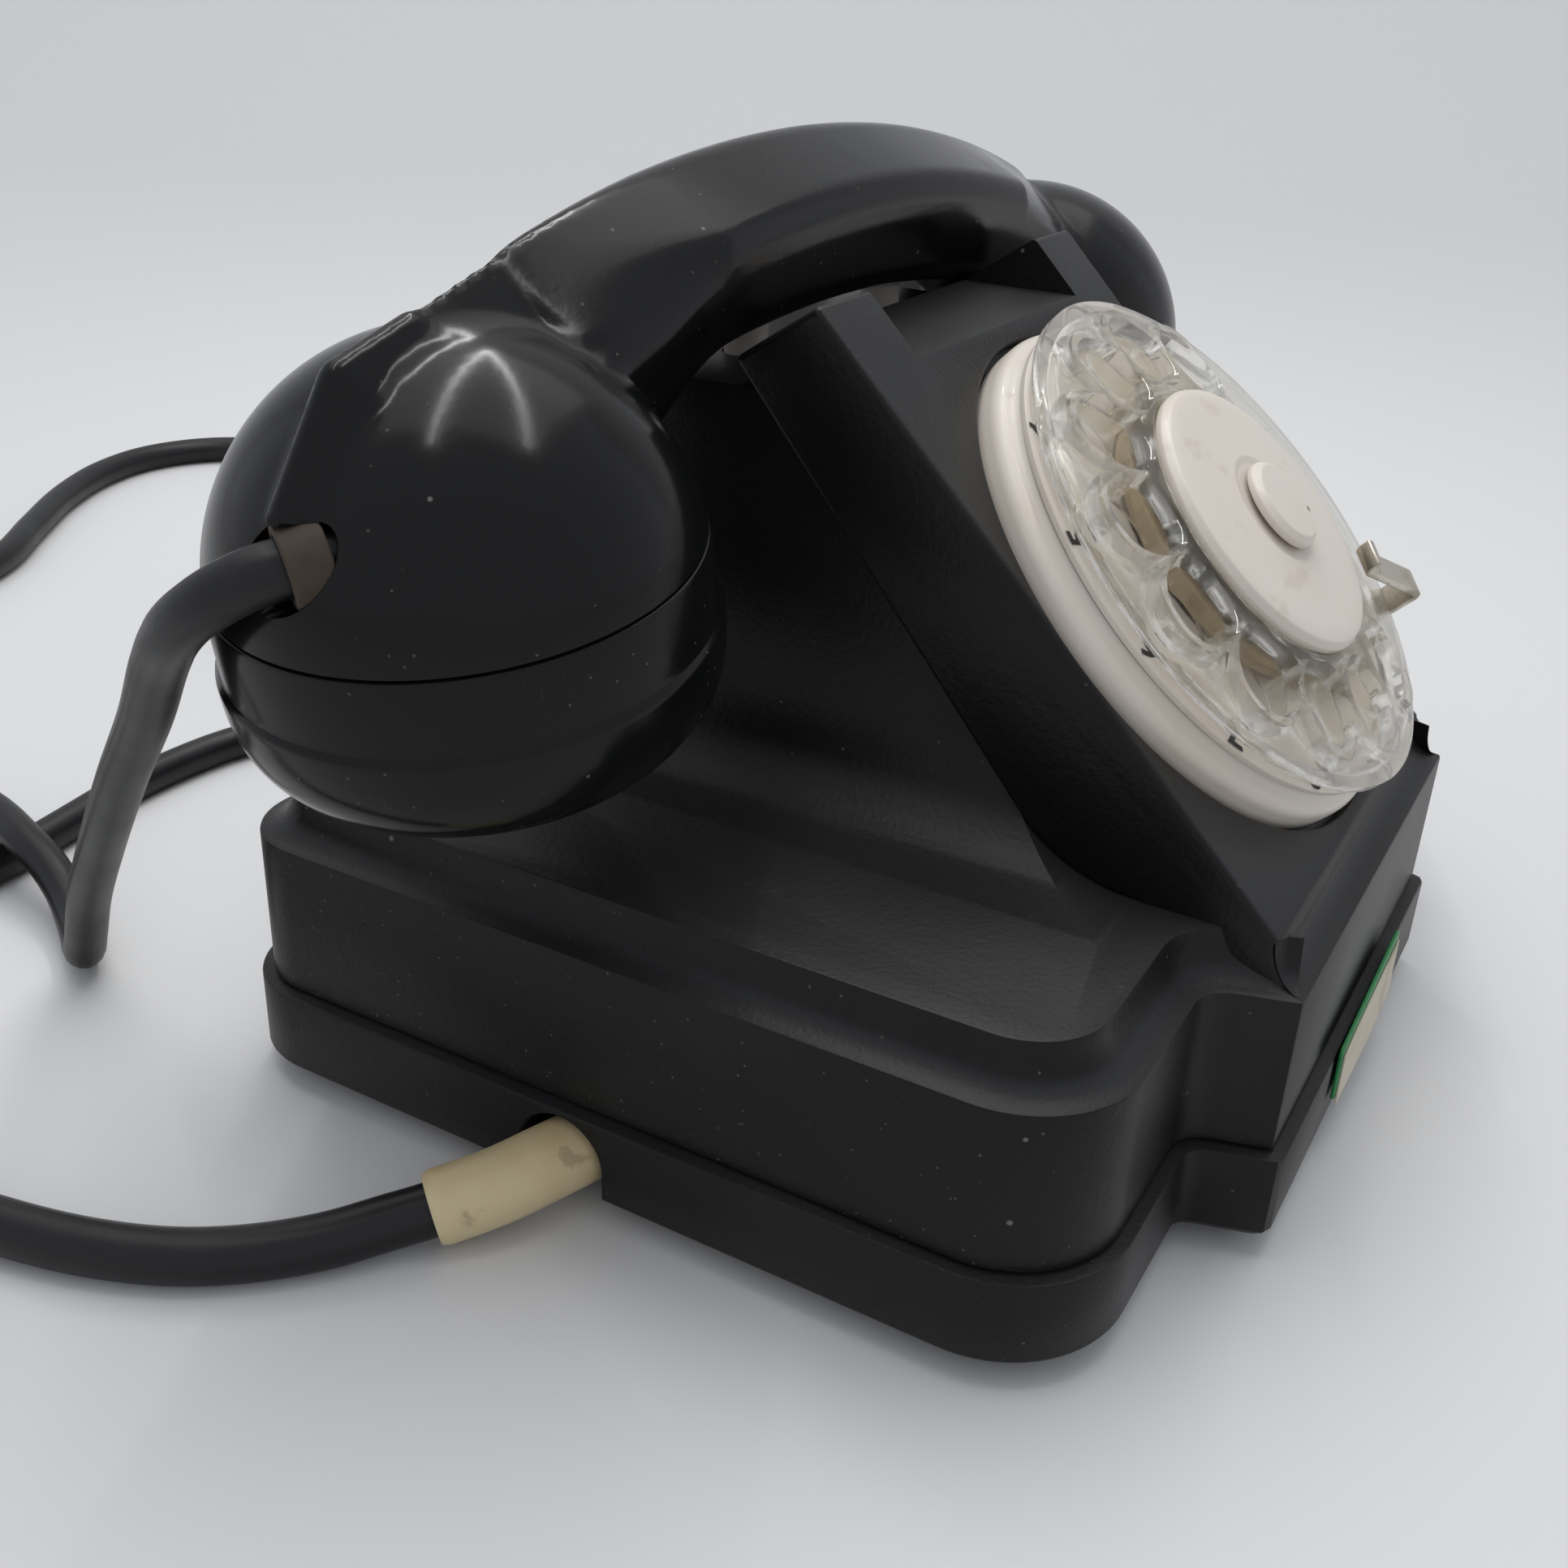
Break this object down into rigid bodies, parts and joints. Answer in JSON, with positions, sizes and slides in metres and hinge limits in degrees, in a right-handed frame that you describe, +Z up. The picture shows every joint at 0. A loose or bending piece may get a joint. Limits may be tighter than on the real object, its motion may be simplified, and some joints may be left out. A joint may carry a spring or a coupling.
{
  "type": "rotary dial telephone",
  "caption": "Desk telephone in a black moulded case with a sloped rotary dial, a lift-off handset on a cradle, a handset cord and a line cord.",
  "frame": {"origin": "middle of the case's footprint on the table, under its four feet", "axes": "+X to the user's right, -Y towards the user, +Z up"},
  "size_m": [0.297, 0.3816, 0.1258],
  "materials": {
    "bakelite": "moulded black phenolic, satin on the case and polished by use on the handset",
    "ivory": "ivory plastic, slightly worn",
    "clear": "clear acrylic, fine wear marks",
    "nickel": "dull nickel plate",
    "brass": "plain brass",
    "steel": "plain steel",
    "copper": "varnished winding",
    "rubber": "matt black rubber cord",
    "cream": "aged cream sleeve",
    "paper": "blank paper card",
    "green": "green plastic edge"
  },
  "bodies": {
    "phone": {"housing": "bakelite", "base_tray": "bakelite", "terminal_block": "bakelite", "line_plug": "bakelite", "dial_case": "ivory", "number_ring": "ivory", "finger_stop": "nickel", "gong_left": "nickel", "gong_right": "nickel", "capacitor": "nickel", "case_screw_left": "brass", "case_screw_right": "brass", "gong_post_left": "brass", "gong_post_right": "brass", "dial_plate": "steel", "ringer_frame": "steel", "pulse_contacts": "copper", "hook_contacts": "copper", "ringer_coil_left": "copper", "ringer_coil_right": "copper", "induction_coil": "copper", "foot_front_left": "rubber", "foot_front_right": "rubber", "foot_rear_left": "rubber", "foot_rear_right": "rubber", "line_cord": "rubber", "handset_cord": "rubber", "line_cord_coil": "rubber", "line_cord_tail": "rubber", "line_cord_sleeve": "cream", "number_card": "paper", "card_backing": "green"},
    "dial": {"finger_wheel": "clear", "wheel_cap": "ivory", "centre_plug": "ivory", "dial_shaft": "steel", "main_gear": "brass", "spring_drum": "steel"},
    "idler": {"idle_pinion": "brass", "pulse_cam": "brass"},
    "governor": {"governor": "steel"},
    "handset": {"handset_body": "bakelite", "cord_bush": "rubber", "transmitter_cap": "bakelite", "transmitter_capsule": "nickel", "receiver_cap": "bakelite", "receiver_capsule": "nickel"},
    "hook": {"hook_plunger_left": "ivory", "hook_plunger_right": "ivory", "hook_bar": "steel"},
    "armature": {"ringer_armature": "steel", "clapper": "brass"}
  },
  "joints": [
    {"name": "dial_spin", "type": "hinge", "parent": "phone", "child": "dial", "pos_m": [0, -0.03433, 0.07301], "axis": [0, 0.7026, -0.7115], "range_deg": [0, 324], "stiffness_Nm_per_rad": 0.006, "springref_deg": -34.38},
    {"name": "idler_spin", "type": "hinge", "parent": "phone", "child": "idler", "pos_m": [-0.01879, -0.03568, 0.06464], "axis": [0, 0.7026, -0.7115], "range_deg": [-1300, 0]},
    {"name": "governor_spin", "type": "hinge", "parent": "phone", "child": "governor", "pos_m": [-0.00771, -0.02705, 0.06165], "axis": [-0.342, 0.6686, 0.6603], "range_deg": [0, 2600]},
    {"name": "handset_lift", "type": "slide", "parent": "phone", "child": "handset", "axis": [0, 0, 1], "range_m": [0, 0.12], "deforming": ["handset_cord"]},
    {"name": "hook_travel", "type": "slide", "parent": "phone", "child": "hook", "axis": [0, 0, 1], "range_m": [0, 0.005]},
    {"name": "armature_rock", "type": "hinge", "parent": "phone", "child": "armature", "pos_m": [0, 0.0035, 0.017], "axis": [0, 0, 1], "range_deg": [-3.4, 3.4]}
  ],
  "couplings": [
    {"joint": "idler_spin", "follows": "dial_spin", "ratio": -4},
    {"joint": "governor_spin", "follows": "dial_spin", "ratio": 8},
    {"joint": "hook_travel", "follows": "handset_lift", "ratio": 0.0416}
  ]
}
